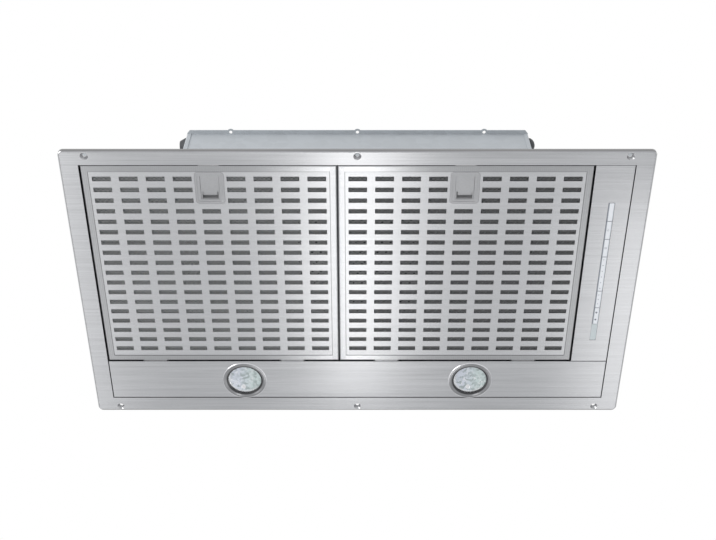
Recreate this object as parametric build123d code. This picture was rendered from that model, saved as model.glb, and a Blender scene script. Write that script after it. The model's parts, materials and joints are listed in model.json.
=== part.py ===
from build123d import *
import os
from math import acos, cos, degrees, radians, sin

# Range hood insert, in millimetres.
# +X is to the right as a cook sees it, -Y to the front, +Z up.
# The origin is the centre of the flange's screw pattern, on the seating plane
# where the flange rim meets the underside of the cabinet.

# ---------------------------------------------------------------- driving sizes
# Stainless flange frame
plate_width = 702.0
plate_depth = 394.0
rim_height = 5.0
sheet = 1.2
corner_radius = 6.5
rim_bend = 2.5
rim_return = 3.5
side_strip = 22.5
front_strip = 18.8
back_strip = 22.5
lip_height = 9.0

# Screw holes of the flange
screw_span_x = 640.0
screw_span_y = 379.0
screw_hole_radius = 2.2
dimple_radius = 4.7

# Grease filters
filter_width = 302.0
filter_depth = 288.2
filter_front_gap = 1.0
filter_centres_x = (-175.6, 128.1)
pan_height = 12.8
pan_sheet = 1.0
pan_bend = 1.5
field_margin = 8.0
field_sink = 0.4
slot_length = 22.3
slot_width = 6.2
slot_columns = 9
slot_rows = 18
slot_pitch_x = 31.9
slot_pitch_y = 14.76
slots_behind_centre = -0.9
latch_rows = 3
hook_offset = 90.0
hook_width = 30.0
hook_reach = 7.0

# Latches
latch_width = 35.0
latch_length = 42.5
latch_from_front = 8.7
latch_throw = 4.5
finger_length = 19.1
finger_width = 9.3
bolt_width = 22.0
bolt_height = 2.0
bolt_play = 1.5
bolt_headroom = 2.3

# Lamp panel and control panel
panel_gap = 2.0
panel_fold = 8.8
lamp_x = 150.0
lamp_y = 144.85
bezel_radius = 29.3
glass_radius = 23.0
lamp_hole_radius = 26.0
can_radius = 27.3
can_height = 33.6
control_left = 281.0
key_x = 305.5
key_pitch = 25.6
key_width = 7.4
key_gap = 0.6
key_sink = 0.1
rocker_pin_radius = 0.6
key_strip_front = -127.1
strip_units = 8

# Lower housing, the tray above the flange
tray_sheet = 1.0
tray_top = 32.0

# Fan box
box_width = 480.0
box_front = -92.0
box_back = 172.0
box_top = 254.0
box_sheet = 1.0
box_lip = 5.0
side_return = 6.0
top_lip = 12.0
box_flange = 12.0
ear_span = 356.6
ear_radius = 5.0
ear_hole_radius = 2.3
side_entry_y = -78.0
side_entry_z = 243.0
side_entry_radius = 11.0
side_entry_neck = 8.0
mains_bore = 4.5
side_entry_proud = 9.5

# Outlet
outlet_y = 80.0
collar_radius = 74.5
collar_wall = 2.2
collar_height = 34.0
flap_radius = 70.5
flap_sheet = 1.2
flap_pin_radius = 1.5
flap_pin_offset = 4.5

# Fan
fan_y = 10.0
fan_z = 142.0
scroll_half_width = 72.0
scroll_wall = 2.0
scroll_rim = 5.0
joint_rim = 2.0
joint_lug = 5.2
scroll_base_radius = 82.0
scroll_growth = 24.0
tongue_offset = 34.7
scroll_mouth = 228.0
inlet_radius = 61.0
wheel_radius = 74.5
wheel_inner_radius = 60.0
wheel_half_width = 61.0
blade_count = 32
blade_thickness = 1.4
shaft_radius = 4.0
bearing_clearance = 0.03
motor_radius = 46.0
bracket_arms = 3

# Mains connection tray inside the left side sheet
tray_front = -89.5
tray_back = 10.5
tray_bottom = 190.0
tray_height = 62.5
tray_reach = 52.0
tray_wall = 1.5

# Pan-head screws, all alike
head_radius = 3.6
head_height = 2.4
shank_radius = 1.9
shank_length = 4.5
screw_clearance = 0.1

# ---------------------------------------------------------------- derived places
bottom = -rim_height
sheet_top = bottom + sheet
half_width = plate_width / 2
front_edge = -plate_depth / 2
back_edge = plate_depth / 2
window_x = half_width - side_strip
window_front = front_edge + front_strip
window_back = back_edge - back_strip

filter_bottom = bottom + 0.2
filter_front = window_front + filter_front_gap
filter_back_edge = filter_front + filter_depth
filter_top = filter_bottom + pan_height
filter_y = (filter_front + filter_back_edge) / 2
lamp_panel_front = filter_back_edge + panel_gap

lid_top = box_top + box_sheet
collar_top = lid_top + collar_height
lip_front = box_front - box_lip
ear_y = lip_front + 3


# ---------------------------------------------------------------- small helpers
def block(x0, x1, y0, y1, z0, z1):
    """Rectangular solid between two opposite corners."""
    centre = Pos((x0 + x1) / 2, (y0 + y1) / 2, (z0 + z1) / 2)
    return centre * Box(abs(x1 - x0), abs(y1 - y0), abs(z1 - z0))


def rounded(x0, x1, y0, y1, z0, z1, radius):
    """Rectangular plate with its four upright corners rounded."""
    outline = Pos((x0 + x1) / 2, (y0 + y1) / 2, z0) * RectangleRounded(x1 - x0, y1 - y0, radius)
    return extrude(outline, amount=z1 - z0)


def upright(x, y, z0, z1, radius):
    """Cylinder along Z."""
    return Pos(x, y, (z0 + z1) / 2) * Cylinder(radius, z1 - z0)


def crosswise(x0, x1, y, z, radius):
    """Cylinder along X."""
    return Pos((x0 + x1) / 2, y, z) * Rot(0, 90, 0) * Cylinder(radius, abs(x1 - x0))


def turned(points, x, y, z0):
    """Solid of revolution about an upright axis from (radius, height) points."""
    outline = make_face(Polyline(*[(r, 0, z) for r, z in points], close=True))
    return Pos(x, y, z0) * revolve(outline, Axis.Z, 360)


def turned_crosswise(points, x0, y, z):
    """Solid of revolution about an axis along X from (radius, distance) points."""
    outline = make_face(Polyline(*[(r, 0, d) for r, d in points], close=True))
    return Pos(x0, y, z) * Rot(0, 90, 0) * revolve(outline, Axis.Z, 360)


def group(pieces):
    """Several separate solids as one node."""
    solids = [solid for piece in pieces for solid in piece.solids()]
    return Compound(children=solids)


def folded_panel(x0, x1, y0, y1, z0, height, thickness, bend):
    """Sheet panel with all four edges folded up and its lower edges rounded."""
    body = block(x0, x1, y0, y1, z0, z0 + height)
    body = fillet(body.faces().sort_by(Axis.Z)[0].edges(), bend)
    inside = block(x0 + thickness, x1 - thickness, y0 + thickness, y1 - thickness,
                   z0 + thickness, z0 + height + 1)
    return body - inside


# ---------------------------------------------------------------- flange frame
def latch_slots(y0, y1, z0):
    """Slots in an upright lip for the two latch bolts, from the height z0 up."""
    half = bolt_width / 2 + bolt_play
    return [block(x - half, x + half, y0, y1, z0, slide_z + bolt_height + bolt_headroom)
            for x in filter_centres_x]


def make_flange_frame():
    """Stainless frame: rounded rim with a return on top, window with an upstanding lip."""
    body = rounded(-half_width, half_width, front_edge, back_edge, bottom, 0, corner_radius)
    body = fillet(body.faces().sort_by(Axis.Z)[0].edges(), rim_bend)
    hollow = rounded(-half_width + sheet, half_width - sheet, front_edge + sheet,
                     back_edge - sheet, sheet_top, -sheet, corner_radius - sheet)
    hollow = fillet(hollow.faces().sort_by(Axis.Z)[0].edges(), rim_bend - sheet)
    mouth = rounded(-half_width + rim_return, half_width - rim_return,
                    front_edge + rim_return, back_edge - rim_return,
                    -sheet - 1, 1, corner_radius - rim_return + 1)
    body = body - hollow - mouth
    lip = block(-window_x - sheet, window_x + sheet, window_front - sheet,
                window_back + sheet, bottom, bottom + lip_height)
    window = block(-window_x, window_x, window_front, window_back, bottom - 1, lip_height)
    body = body + lip - window
    for x in (-screw_span_x / 2, 0, screw_span_x / 2):
        for y in (-screw_span_y / 2, screw_span_y / 2):
            dimple = Pos(x, y, bottom / 2) * Cone(dimple_radius + 1.3, screw_hole_radius + 1.3, rim_height)
            sink_depth = rim_height - sheet
            sink = Pos(x, y, bottom + sink_depth / 2) * Cone(dimple_radius, screw_hole_radius, sink_depth)
            body = body + dimple - sink - upright(x, y, bottom, 1, screw_hole_radius)
    for slot in latch_slots(window_front - sheet - 1, window_front + 1, sheet_top):
        body = body - slot
    return body


# ---------------------------------------------------------------- lower housing
def make_lower_housing():
    """Galvanised tray round the window lip, with a roof that carries the fan box."""
    wall_x = window_x + sheet
    wall_front = window_front - sheet
    wall_back = window_back + sheet
    t = tray_sheet
    foot = 2.5
    body = block(-wall_x - t, wall_x + t, wall_front - t, wall_back + t, sheet_top, tray_top)
    body = fillet(body.edges().filter_by(Axis.Z), 2.0)
    body = body + block(-wall_x - t - foot, wall_x + t + foot, wall_front - t - foot,
                        wall_back + t + foot, sheet_top, sheet_top + t)
    inside = block(-wall_x, wall_x, wall_front, wall_back, sheet_top - 1, tray_top - t)
    body = body - inside
    opening_side = box_width / 2 - 9
    body = body - block(-opening_side, opening_side, box_front + 9, box_back - 9, 0, tray_top + 1)
    for slot in latch_slots(wall_front - t - foot - 1, wall_front + 1, sheet_top - 1):
        body = body - slot
    for x, y in box_screw_spots():
        body = body - upright(x, y, tray_top - 2, tray_top + 1, 2.0)
    return body


def box_screw_spots():
    """Screws that join the fan box's foot flange to the tray's roof."""
    side = box_width / 2 + 6
    spots = [(x, box_front - 6) for x in (-180, -60, 60, 180)]
    spots += [(s * side, y) for s in (-1, 1) for y in (-40, 110)]
    return spots


def make_centre_bar():
    """Channel over the joint between the filters, from the front lip to the partition."""
    x = sum(filter_centres_x) / 2
    half = 9.0
    z0 = filter_top + 1.0
    body = block(x - half, x + half, window_front, partition_y, z0, z0 + 1)
    for side in (-1, 1):
        edge = x + side * half
        body = body + block(edge, edge - side, window_front, partition_y, z0, z0 + 12)
    foot = block(x - half, x + half, window_front, window_front + 1, z0, tray_top - tray_sheet)
    return body + foot


partition_y = lamp_panel_front + 9.0


def make_lamp_partition():
    """Wall between the filters and the lamp compartment, notched round the lamp holders."""
    side = window_x - 2.6
    z0 = sheet_top
    z1 = tray_top - tray_sheet
    wall = block(-side, side, partition_y, partition_y + 1, z0, z1)
    wall = wall + block(-side, side, partition_y, partition_y + 9, z0, z0 + 1)
    wall = wall + block(-side, side, partition_y, partition_y + 10, z1 - 1, z1)
    for sign in (-1, 1):
        wall = wall - upright(sign * lamp_x, lamp_y, z0 - 1, z0 + can_height + 0.4, can_radius + 0.5)
    return wall


# ---------------------------------------------------------------- grease filters
def slot_centres(centre_x):
    """Centres of the slots in one filter, leaving out those under the latch."""
    for row in range(slot_rows):
        y = filter_y + slots_behind_centre + (row - (slot_rows - 1) / 2) * slot_pitch_y
        for column in range(slot_columns):
            offset = column - (slot_columns - 1) / 2
            if row < latch_rows and offset == 0:
                continue
            yield centre_x + offset * slot_pitch_x, y


def make_filter_face(centre_x):
    """Slotted stainless pan with a sunk field, latch window and two rear hooks."""
    x0 = centre_x - filter_width / 2
    x1 = centre_x + filter_width / 2
    pan = folded_panel(x0, x1, filter_front, filter_back_edge, filter_bottom,
                       pan_height, pan_sheet, pan_bend)
    m = field_margin
    pan = pan - rounded(x0 + m, x1 - m, filter_front + m, filter_back_edge - m,
                        filter_bottom - 1, filter_bottom + field_sink, 2.0)
    holes = Sketch() + [Pos(x, y) * Rectangle(slot_length, slot_width)
                        for x, y in slot_centres(centre_x)]
    pan = pan - extrude(Pos(0, 0, filter_bottom - 1) * holes, amount=3)
    y0 = filter_front + latch_from_front
    pan = pan - rounded(centre_x - latch_width / 2, centre_x + latch_width / 2, y0,
                        y0 + latch_length, filter_bottom - 1, filter_bottom + 3, 4.0)
    pan = pan - block(centre_x - bolt_width / 2 - 0.5, centre_x + bolt_width / 2 + 0.5,
                      filter_front - 1, filter_front + 2, slide_z - 0.4, slide_z + bolt_height + 0.4)
    for side in (-1, 1):
        x = centre_x + side * hook_offset
        pan = pan + block(x - hook_width / 2, x + hook_width / 2, filter_back_edge - 1,
                          filter_back_edge + hook_reach, filter_bottom + 1.3, filter_bottom + 2.3)
    return pan


def make_filter_mesh(centre_x):
    """Grease mesh pack, notched round the latch."""
    side = filter_width / 2 - pan_sheet - 0.5
    y0 = filter_front + pan_sheet + 0.5
    y1 = filter_back_edge - pan_sheet - 0.5
    pack = block(centre_x - side, centre_x + side, y0, y1, filter_bottom + 1.3, filter_top - 1.2)
    notch_end = filter_front + latch_from_front + latch_length + latch_throw + 4
    return pack - block(centre_x - 20, centre_x + 20, y0 - 1, notch_end,
                        filter_bottom, filter_top)


def make_filter_back(centre_x):
    """Retaining frame behind the mesh pack: a rim with two bars each way."""
    side = filter_width / 2 - pan_sheet - 0.2
    y0 = filter_front + pan_sheet + 0.2
    y1 = filter_back_edge - pan_sheet - 0.2
    z0 = filter_top - 1.2
    frame = block(centre_x - side, centre_x + side, y0, y1, z0, z0 + 1)
    rim = 16.0
    bar = 8.0
    columns = 3
    rows = 3
    cell_x = (2 * side - 2 * rim - (columns - 1) * bar) / columns
    cell_y = (y1 - y0 - 2 * rim - (rows - 1) * bar) / rows
    for i in range(columns):
        for j in range(rows):
            x = centre_x - side + rim + i * (cell_x + bar)
            y = y0 + rim + j * (cell_y + bar)
            if j == 0 and i == 1:
                y = y + latch_length + 6
            top = y0 + rim + j * (cell_y + bar) + cell_y
            frame = frame - rounded(x, x + cell_x, y, top, z0 - 1, z0 + 2, 3.0)
    return frame


def make_latch_plate(centre_x):
    """Dished plate with the window for the slide and guides over its edges."""
    clear = 0.2
    x0 = centre_x - latch_width / 2 + clear
    x1 = centre_x + latch_width / 2 - clear
    y0 = filter_front + latch_from_front + clear
    y1 = y0 + latch_length - 2 * clear
    z0 = filter_bottom + field_sink
    z1 = slide_z - 0.1
    plate = rounded(x0, x1, y0, y1, z0, z1, 3.8)
    border = 2.4
    dish = rounded(x0 + border, x1 - border, y0 + border, y1 - border, z0 - 1, z0 + 0.7, 2.5)
    plate = plate - fillet(dish.faces().sort_by(Axis.Z)[-1].edges(), 0.5)
    half = bolt_width / 2 + 0.3
    plate = plate - block(centre_x - half, centre_x + half, slide_front - 0.3,
                          slide_back + 0.3, z0 - 1, z1 + 1)
    guide_front = slide_front + 1
    guide_back = slide_front + 14
    for side in (-1, 1):
        wall = centre_x + side * half
        plate = plate + block(wall, wall + side * 2, guide_front, guide_back, z1, z1 + 3.2)
        plate = plate + block(wall - side * 1.8, wall + side * 2, guide_front, guide_back,
                              z1 + 2.2, z1 + 3.2)
    return plate


slide_front = filter_front + latch_from_front + 6.2
slide_back = slide_front + 30.6
slide_z = filter_bottom + 1.8


def make_latch(centre_x):
    """Slide behind the plate's window, stored drawn back, with a finger recess and its bolt."""
    half = bolt_width / 2
    top = slide_z + bolt_height
    floor = top + 2.2
    slide = block(centre_x - half, centre_x + half, filter_front + 0.2, slide_back + 5, slide_z, top)
    slide = chamfer(slide.edges().group_by(Axis.Y)[0].filter_by(Axis.X).sort_by(Axis.Z)[-1], 1.2)
    cup_back = slide_back - 0.6
    cup_front = cup_back - finger_width
    cup_half = finger_length / 2
    boss = rounded(centre_x - cup_half - 1.2, centre_x + cup_half + 1.2, cup_front - 1.2,
                   cup_back + 1.2, slide_z, floor + 1, 1.0)
    profile = Plane.YZ * make_face(Polyline(
        (cup_front, slide_z - 1), (cup_front, floor), (cup_back - 2, floor),
        (cup_back, slide_z + 0.8), (cup_back, slide_z - 1), close=True))
    cup = extrude(profile, amount=cup_half, both=True)
    inner_side = 1 if centre_x < 0 else -1
    drain = block(centre_x + inner_side * (cup_half - 1.7), centre_x + inner_side * cup_half,
                  cup_front + 0.8, cup_back - 2.2, floor - 1, floor + 2)
    return slide + boss - Pos(centre_x, 0, 0) * cup - drain


# ---------------------------------------------------------------- lamp panel
def make_lamp_panel():
    """Stainless panel behind the filters: folded edges, two lamp holes, hook notches."""
    side = window_x - 0.9
    panel = folded_panel(-side, side, lamp_panel_front, window_back - 0.9, bottom,
                         panel_fold, sheet, 0.8)
    for sign in (-1, 1):
        panel = panel - upright(sign * lamp_x, lamp_y, bottom - 1, bottom + 3, lamp_hole_radius)
    for centre_x in filter_centres_x:
        for sign in (-1, 1):
            x = centre_x + sign * hook_offset
            half = hook_width / 2 + 2
            panel = panel - block(x - half, x + half, lamp_panel_front - 1,
                                  lamp_panel_front + sheet + 0.5, sheet_top, panel_fold)
    return panel


def make_bezel(x):
    """Round lamp bezel: rolled outer ring, sloping inner ring and a neck through the panel."""
    proud = 1.0
    neck = lamp_hole_radius - 0.2
    ring = [(glass_radius - 1.2, 0.6), (glass_radius + 1.0, -0.3), (neck + 0.4, -proud),
            (bezel_radius - 1.2, -proud * 0.8), (bezel_radius - 0.3, -0.45), (bezel_radius, 0),
            (neck, 0), (neck, 8), (neck - 1.4, 8), (neck - 1.4, 2.2), (glass_radius - 1.2, 2.0)]
    return turned(ring, x, lamp_y, bottom)


def make_glass(x):
    """Front glass, a shallow dome held by the bezel."""
    z = bottom + 2.2
    r = glass_radius + 0.9
    lens = turned([(0, 0.6), (r * 0.5, 0.45), (r * 0.85, 0.2), (r, 0), (r, 1.8), (0, 2.4)], x, lamp_y, z)
    return lens


def make_reflector(x):
    """Bowl reflector with a neck for the bulb."""
    z = bottom + 4.8
    outside = [(23.8, 0), (23.8, 1.2), (21.5, 6), (17.5, 12), (12.0, 17), (7.5, 19), (7.5, 23)]
    inside = [(5.5, 23), (5.5, 18.4), (11.2, 15.8), (16.4, 11.2), (20.2, 5.4), (22.4, 0)]
    return turned(outside + inside, x, lamp_y, z)


def make_bulb(x):
    """Capsule bulb with its two pins."""
    z = bottom + 4.8
    capsule = turned([(0, 6), (2.6, 6.8), (4.2, 9), (4.4, 17), (4.4, 22.5), (0, 22.5)], x, lamp_y, z)
    pins = [upright(x + s * 2.0, lamp_y, z + 22.5, z + 27.0, 0.5) for s in (-1, 1)]
    return capsule + pins


def make_lamp_can(x):
    """Lamp holder: a cup over the reflector, with the bulb socket in its roof."""
    r = can_radius
    h = can_height
    roof = 30.4
    cup = turned([(r, 0), (r, 25), (r - 6, roof), (9, roof), (9, h), (0, h), (0, 29), (8, 29),
                  (r - 7, 29), (r - 1.2, 24.4), (r - 1.2, 0)], x, lamp_y, sheet_top)
    for side in (-1, 1):
        cup = cup + block(x + side * (r - 0.6), x + side * (r + 9), lamp_y - 6, lamp_y + 6,
                          sheet_top, sheet_top + 1.2)
        cup = cup - upright(x + side * 2.0, lamp_y, sheet_top + 25, sheet_top + 32, 0.55)
    return cup


# ---------------------------------------------------------------- control panel
def key_centre(unit, units_long=1):
    """Middle of a strip unit, counted from the front, along Y."""
    return key_strip_front + (unit + units_long / 2) * key_pitch


stem_top = bottom + 6.6
rocker_pin_z = bottom + 2.05
board_bottom = 6.0


def make_key(unit, units_long=1):
    """Key cap with a retaining flange behind the panel and a stem for each switch."""
    y = key_centre(unit, units_long)
    half = units_long * key_pitch / 2 - key_gap / 2
    rocks = units_long > 1
    flange_bottom = bottom + (1.7 if rocks else 1.15)
    flange_top = bottom + (2.4 if rocks else 2.1)
    cap = rounded(key_x - key_width / 2, key_x + key_width / 2, y - half, y + half,
                  bottom + key_sink, flange_bottom + 0.05, 0.6)
    flange = block(key_x - key_width / 2 - 1.2, key_x + key_width / 2 + 1.2, y - half + 0.1,
                   y + half - 0.1, flange_bottom, flange_top)
    key = cap + flange
    for stem_y in stem_places(unit, units_long):
        key = key + block(key_x - 2, key_x + 2, stem_y - 3, stem_y + 3, flange_top, stem_top)
    if rocks:
        key = key + crosswise(key_x - 8.4, key_x + 8.4, y, rocker_pin_z, rocker_pin_radius)
    return key


def stem_places(unit, units_long):
    """Where the stems press on their switches: one, or one at each end of a rocker."""
    y = key_centre(unit, units_long)
    if units_long == 1:
        return [y]
    return [y - key_pitch / 2, y + key_pitch / 2]


keys = {"key_light": (1, 1), "key_power": (2, 1), "key_fan_level": (3, 2),
        "key_run_on": (5, 1), "key_filter_check": (6, 1)}


def make_strip_blanks():
    """Bare end pieces of the strip, with the same section as the keys."""
    blanks = []
    for unit in (0, strip_units - 1):
        y = key_centre(unit)
        half = key_pitch / 2 - key_gap / 2
        cap = rounded(key_x - key_width / 2, key_x + key_width / 2, y - half, y + half,
                      bottom + key_sink, bottom + 1.2, 0.6)
        flange = block(key_x - key_width / 2 - 1.2, key_x + key_width / 2 + 1.2,
                       y - half + 0.1, y + half - 0.1, bottom + 1.0, key_carrier_bottom)
        blanks.append(cap + flange)
    return group(blanks)


key_carrier_bottom = bottom + 3.2
strip_back = key_strip_front + strip_units * key_pitch


def make_key_carrier():
    """Moulded guide behind the keys: a plate with stem holes, two rails and board posts."""
    z0 = key_carrier_bottom
    plate = rounded(key_x - 13, key_x + 13, key_strip_front - 6, strip_back + 6, z0, z0 + 2, 2.0)
    for unit, units_long in keys.values():
        for y in stem_places(unit, units_long):
            plate = plate - block(key_x - 2.4, key_x + 2.4, y - 3.8, y + 3.8, z0 - 1, z0 + 3)
    for side in (-1, 1):
        plate = plate + block(key_x + side * 7, key_x + side * 9, key_strip_front - 2,
                              strip_back + 2, bottom + 1, z0)
        plate = plate - crosswise(key_x + side * 6, key_x + side * 8.6, key_centre(*keys["key_fan_level"]),
                                  rocker_pin_z, rocker_pin_radius + 0.05)
        for y in (key_strip_front + 4, strip_back - 4):
            plate = plate + upright(key_x + side * 9.5, y, z0 + 2, board_bottom, 2.5)
    return plate


def make_control_panel():
    """Stainless panel at the right with the long slot for the keys."""
    panel = folded_panel(control_left, window_x - 0.9, window_front + 0.5,
                         lamp_panel_front - 0.5, bottom, panel_fold, 1.0, 0.8)
    half = key_width / 2 + 0.3
    return panel - rounded(key_x - half, key_x + half, key_strip_front - 0.1, strip_back + 0.1,
                           bottom - 1, bottom + 2, 0.8)


def make_control_board():
    """Circuit board over the keys, with its connector."""
    y0 = key_strip_front - 10
    y1 = strip_back + 12
    board = block(key_x - 15, key_x + 15, y0, y1, board_bottom, board_bottom + 1.6)
    connector = block(key_x - 8, key_x + 8, y1 - 9, y1 - 1, board_bottom + 1.6, board_bottom + 9)
    return board + connector


def make_key_switches():
    """One small press switch under each stem."""
    switches = []
    for unit, units_long in keys.values():
        for y in stem_places(unit, units_long):
            body = block(key_x - 3, key_x + 3, y - 3, y + 3, board_bottom - 3, board_bottom)
            switches.append(body + upright(key_x, y, stem_top + 0.7, board_bottom - 3, 1.7))
    return group(switches)


def make_control_cover():
    """Moulded cover over the board, open at the bottom, with a cable notch."""
    x0 = control_left + 3
    x1 = window_x - 4
    y0 = key_strip_front - 30
    y1 = strip_back + 26
    z0 = bottom + 1.0
    z1 = 20.0
    cover = rounded(x0, x1, y0, y1, z0, z1, 3.0)
    cover = fillet(cover.faces().sort_by(Axis.Z)[-1].edges(), 2.0)
    cover = cover - block(x0 + 1.5, x1 - 1.5, y0 + 1.5, y1 - 1.5, z0 - 1, z1 - 1.5)
    return cover - block(key_x - 8, key_x + 8, y1 - 3, y1 + 1, 8, 16)


# ---------------------------------------------------------------- fan box
def make_housing_front():
    """Front sheet of the fan box: a lip with three ears at its top, a foot flange below."""
    t = box_sheet
    half = box_width / 2 - t
    front = block(-half, half, box_front + t, box_front + 2 * t, tray_top, box_top)
    foot_half = box_width / 2 - side_return - 0.5
    front = front + block(-foot_half, foot_half, box_front - box_flange, box_front + 2 * t,
                          tray_top, tray_top + t)
    front = front + front_lip()
    for x, y in box_screw_spots():
        front = front - upright(x, y, tray_top - 1, tray_top + 2, shank_radius + screw_clearance)
    return front


def front_lip():
    """Lip folded forward at the top of the front sheet, mitred at its ends, with three ears."""
    half = box_width / 2
    back = box_front + 2 * box_sheet
    z0 = box_top - box_sheet
    outline = make_face(Polyline((-half, back), (half, back), (half, box_front),
                                 (half - 4, lip_front), (-half + 4, lip_front), (-half, box_front),
                                 close=True))
    lip = extrude(Pos(0, 0, z0) * outline, amount=box_sheet)
    for x in (-ear_span / 2, 0, ear_span / 2):
        lip = lip + upright(x, ear_y, z0, box_top, ear_radius)
    for x in (-ear_span / 2, 0, ear_span / 2):
        lip = lip - upright(x, ear_y, z0 - 1, box_top + 1, ear_hole_radius)
    return lip


def make_housing_side():
    """Right side sheet: returns round the front and back sheets, a top lip, a foot flange."""
    t = box_sheet
    half = box_width / 2
    side = block(half - side_return, half, box_front, box_back, tray_top, box_top)
    side = fillet(side.edges().filter_by(Axis.Z).group_by(Axis.X)[-1], 1.5)
    side = side - block(half - side_return - 1, half - t, box_front + t, box_back - t,
                        tray_top - 1, box_top + 1)
    side = side + block(half - top_lip, half - t / 2, box_front + 2 * t, box_back - 2 * t,
                        box_top - t, box_top)
    side = side - block(half - top_lip - 1, half + 1, box_front - 1, box_front + 2 * t,
                        box_top - t, box_top + 1)
    side = side + block(half - t / 2, half + box_flange, box_front + t, box_back - 10,
                        tray_top, tray_top + t)
    side = side - crosswise(half - 2, half + 2, side_entry_y, side_entry_z,
                            side_entry_neck + 0.1)
    for x, y in box_screw_spots():
        side = side - upright(x, y, tray_top - 1, tray_top + 2, shank_radius + screw_clearance)
    for x, y in cover_screw_spots():
        side = side - upright(x, y, box_top - 3, box_top + 1, shank_radius + screw_clearance)
    return side


def make_housing_sides():
    """The two side sheets, alike apart from their hand."""
    right = make_housing_side()
    return group([mirror(right, about=Plane.YZ), right])


def make_housing_back():
    """Back sheet of the fan box, with inward lips at its top and foot."""
    t = box_sheet
    half = box_width / 2 - t
    back = block(-half, half, box_back - 2 * t, box_back - t, tray_top, box_top)
    lip_half = box_width / 2 - top_lip - 2
    inner = box_back - top_lip
    for z0 in (tray_top, box_top - t):
        back = back + block(-lip_half, lip_half, inner, box_back - t, z0, z0 + t)
    for x, y in cover_screw_spots():
        back = back - upright(x, y, box_top - 3, box_top + 1, shank_radius + screw_clearance)
    return back


def cover_screw_spots():
    """Screws that hold the cover on the box's inward lips."""
    side = box_width / 2 - 7
    spots = [(s * side, y) for s in (-1, 1) for y in (22, 80, 140)]
    spots += [(x, box_back - 7) for x in (-150, 150)]
    return spots


def collar_screw_spots():
    """Four screws through the collar's flange."""
    r = collar_radius + 6
    return [(r * cos(radians(a)), outlet_y + r * sin(radians(a))) for a in (45, 135, 225, 315)]


def make_housing_cover():
    """Top sheet of the box with a raised bead round the outlet hole."""
    half = box_width / 2 - 1
    cover = rounded(-half, half, box_front + 1, box_back - 1, box_top, lid_top, 3.0)
    hole = collar_radius - collar_wall - 0.3
    cover = cover - upright(0, outlet_y, box_top - 1, lid_top + 1, hole)
    for x, y in cover_screw_spots() + collar_screw_spots():
        cover = cover - upright(x, y, box_top - 1, lid_top + 1, 2.0)
    return cover


def pan_head_screw():
    """Pan-head screw along Z, with the underside of its head at zero."""
    h = head_height
    r = head_radius
    head = turned([(0, 0), (r, 0), (r - 0.2, h * 0.58), (r * 0.67, h * 0.92), (0, h)], 0, 0, 0)
    return head + upright(0, 0, -shank_length, 0, shank_radius)


def make_screws():
    """Identical pan-head screws of the box, the cover, the collar and the scroll's joint."""
    places = [(x, y, tray_top + box_sheet) for x, y in box_screw_spots()]
    places += [(x, y, lid_top) for x, y in cover_screw_spots()]
    places += [(x, y, lid_top + 2) for x, y in collar_screw_spots()]
    screws = [Pos(x, y, z) * pan_head_screw() for x, y, z in places]
    screws += [Pos(joint_rim, y, z) * Rot(0, 90, 0) * pan_head_screw()
               for y, z in scroll_screw_spots()]
    return group(screws)


def make_cable_gland():
    """Left entry: a conical rubber gland with the bore for the mains lead."""
    neck = side_entry_neck
    r = side_entry_radius
    inside = 7.0
    p = inside + side_entry_proud
    outline = [(mains_bore, 0), (neck, 0), (neck, inside), (r - 0.5, inside), (r, inside + 1),
               (r - 0.8, inside + 3), (mains_bore + 2.6, p - 1.2), (mains_bore + 1.6, p), (mains_bore, p)]
    gland = turned_crosswise(outline, 0, 0, 0)
    return Pos(-box_width / 2 + inside, side_entry_y, side_entry_z) * Rot(0, 0, 180) * gland


def make_blanking_plug():
    """Right entry: a domed rubber plug in the unused hole."""
    r = side_entry_radius
    neck = side_entry_neck
    inside = 7.0
    dome = [(r * cos(radians(a)), inside + side_entry_proud * sin(radians(a)))
            for a in (0, 20, 40, 60, 78)]
    outline = [(0, 0), (neck, 0), (neck, inside)] + dome + [(0, inside + side_entry_proud)]
    return turned_crosswise(outline, box_width / 2 - inside, side_entry_y, side_entry_z)


# ---------------------------------------------------------------- outlet
def make_outlet_duct():
    """Transition from the scroll's rectangular mouth to the round outlet, with a top flange."""
    top = box_top - box_sheet
    width = scroll_half_width * 2
    depth = scroll_base_radius + scroll_growth - tongue_offset
    r = collar_radius - collar_wall - 0.5

    def passage(inset, z0, z1):
        mouth = Pos(0, outlet_y, z0) * Rectangle(width - 2 * inset, depth - 2 * inset)
        round_end = Pos(0, outlet_y, z1) * Circle(r - inset)
        return loft([mouth.face(), round_end.face()])

    duct = passage(0, scroll_mouth, top) + upright(0, outlet_y, top - 1.5, top, r + 9)
    duct = duct - passage(scroll_wall, scroll_mouth - 1, top + 1)
    for x, y in collar_screw_spots():
        duct = duct - upright(x, y, top - 3, top + 1, 2.0)
    return duct


def make_outlet_collar():
    """Round spigot for the duct, with a flap seat, a bridge and lugs for the flap pins."""
    r = collar_radius
    inner = r - collar_wall
    profile = [(inner, 0), (r + 11, 0), (r + 11, 2), (r + 1, 2), (r, 3), (r, collar_height - 1),
               (r - 0.8, collar_height), (inner, collar_height), (inner, 6.5),
               (flap_radius - 2, 5.5), (flap_radius - 2, 3.5), (inner, 2.5)]
    collar = turned(profile, 0, outlet_y, lid_top)
    bridge = block(-inner - 0.5, inner + 0.5, outlet_y - 3, outlet_y + 3, lid_top, lid_top + 4.5)
    for side in (-1, 1):
        lug = block(side * (flap_radius - 3), side * (inner + 0.5), outlet_y - 8, outlet_y + 8,
                    lid_top, pin_z + 3.5)
        bridge = bridge + lug
    bridge = bridge & upright(0, outlet_y, lid_top, collar_top, inner + 0.5)
    collar = collar + bridge
    for side in (-1, 1):
        collar = collar - crosswise(-inner + 0.6, inner - 0.6, outlet_y + side * flap_pin_offset,
                                    pin_z, flap_pin_radius + 0.02)
    for x, y in collar_screw_spots():
        collar = collar - upright(x, y, lid_top - 1, lid_top + 4, 2.0)
    return collar


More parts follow.
